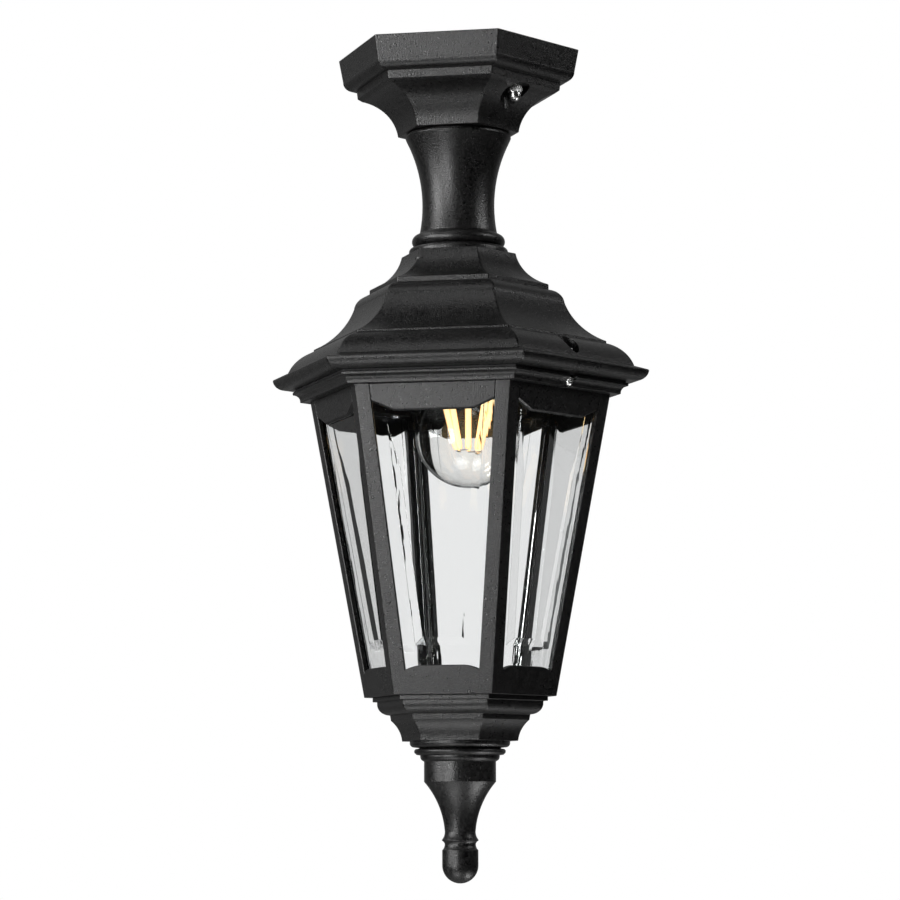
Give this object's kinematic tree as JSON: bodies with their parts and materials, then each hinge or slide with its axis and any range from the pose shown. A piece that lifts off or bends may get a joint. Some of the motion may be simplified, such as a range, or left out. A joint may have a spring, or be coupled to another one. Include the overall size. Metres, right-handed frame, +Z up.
{
  "type": "porch ceiling lantern",
  "caption": "Hexagonal ceiling lantern for a porch: canopy, turned neck, moulded roof, tapering cage with bevelled panes and clear globe lamp, turned finial below.",
  "frame": {"origin": "middle of the ceiling face, the plane on which the canopy's open top and the bracket meet the ceiling", "axes": "+Z up, out of the lantern into the ceiling, so the lantern hangs in -Z. -Y is the access side, with the screw that holds the cage shut, and +Y is the hinge side. The flats of every hexagon face +Y and -Y, and corners lie on X."},
  "size_m": [0.2402, 0.208, 0.5186],
  "materials": {
    "powder_black": "satin black powder coat with a fine texture on cast aluminium",
    "zinc_steel": "bright zinc-plated steel",
    "stainless": "polished stainless steel",
    "brass": "plain brass",
    "rubber_black": "black closed-cell foam rubber",
    "porcelain": "white glazed porcelain",
    "block_plastic": "pale moulded plastic",
    "wire_brown": "brown insulation",
    "wire_blue": "blue insulation",
    "wire_green": "green and yellow insulation",
    "pane_glass": "clear bevelled glass",
    "lamp_glass": "clear thin glass",
    "cap_metal": "nickel-plated shell",
    "insulator_black": "black vitrified insulator",
    "filament": "amber phosphor on glowing rods"
  },
  "bodies": {
    "hood": {"ceiling_bracket": "zinc_steel", "canopy_studs": "stainless", "stud_locknuts": "zinc_steel", "canopy": "powder_black", "ceiling_gasket": "rubber_black", "canopy_washers": "stainless", "canopy_nuts": "stainless", "terminal_block": "block_plastic", "terminal_sleeves": "brass", "terminal_screws": "zinc_steel", "block_screws": "zinc_steel", "earth_screw": "brass", "earth_tag": "zinc_steel", "neck": "powder_black", "stem_tube": "zinc_steel", "stem_nuts": "zinc_steel", "stem_washers": "zinc_steel", "roof": "powder_black", "roof_gasket": "rubber_black", "holder_plate": "zinc_steel", "holder_plate_screws": "zinc_steel", "lampholder": "porcelain", "lampholder_screws": "zinc_steel", "lampholder_sleeve": "brass", "lampholder_contact": "brass", "live_lead": "wire_brown", "neutral_lead": "wire_blue", "earth_lead": "wire_green", "hinge_pin": "stainless", "screw_washer": "stainless"},
    "cage": {"cage_frame": "powder_black", "top_rail_1": "powder_black", "top_rail_2": "powder_black", "top_rail_3": "powder_black", "top_rail_4": "powder_black", "top_rail_5": "powder_black", "top_rail_6": "powder_black", "rail_screws": "zinc_steel", "glass_1": "pane_glass", "glass_2": "pane_glass", "glass_3": "pane_glass", "glass_4": "pane_glass", "glass_5": "pane_glass", "glass_6": "pane_glass", "pane_clips": "powder_black", "clip_screws": "powder_black", "cage_nut": "stainless", "base": "powder_black", "base_screws": "zinc_steel", "finial": "powder_black", "finial_stud": "zinc_steel", "finial_nut": "zinc_steel"},
    "lamp": {"lamp_glass": "lamp_glass", "lamp_cap": "cap_metal", "lamp_insulator": "insulator_black", "lamp_contact": "brass", "lamp_stem": "lamp_glass", "lamp_filaments": "filament", "lamp_links": "zinc_steel"},
    "cage_screw": {"cage_screw": "stainless"}
  },
  "joints": [
    {"name": "cage_swing", "type": "hinge", "parent": "hood", "child": "cage", "pos_m": [0, 0.096, -0.2144], "axis": [1, 0, 0], "range_deg": [0, 80]},
    {"name": "lamp_unscrew", "type": "slide", "parent": "hood", "child": "lamp", "axis": [0, 0, -1], "range_m": [0, 0.03]},
    {"name": "screw_undo", "type": "slide", "parent": "hood", "child": "cage_screw", "axis": [0, 0, 1], "range_m": [0, 0.008]}
  ]
}
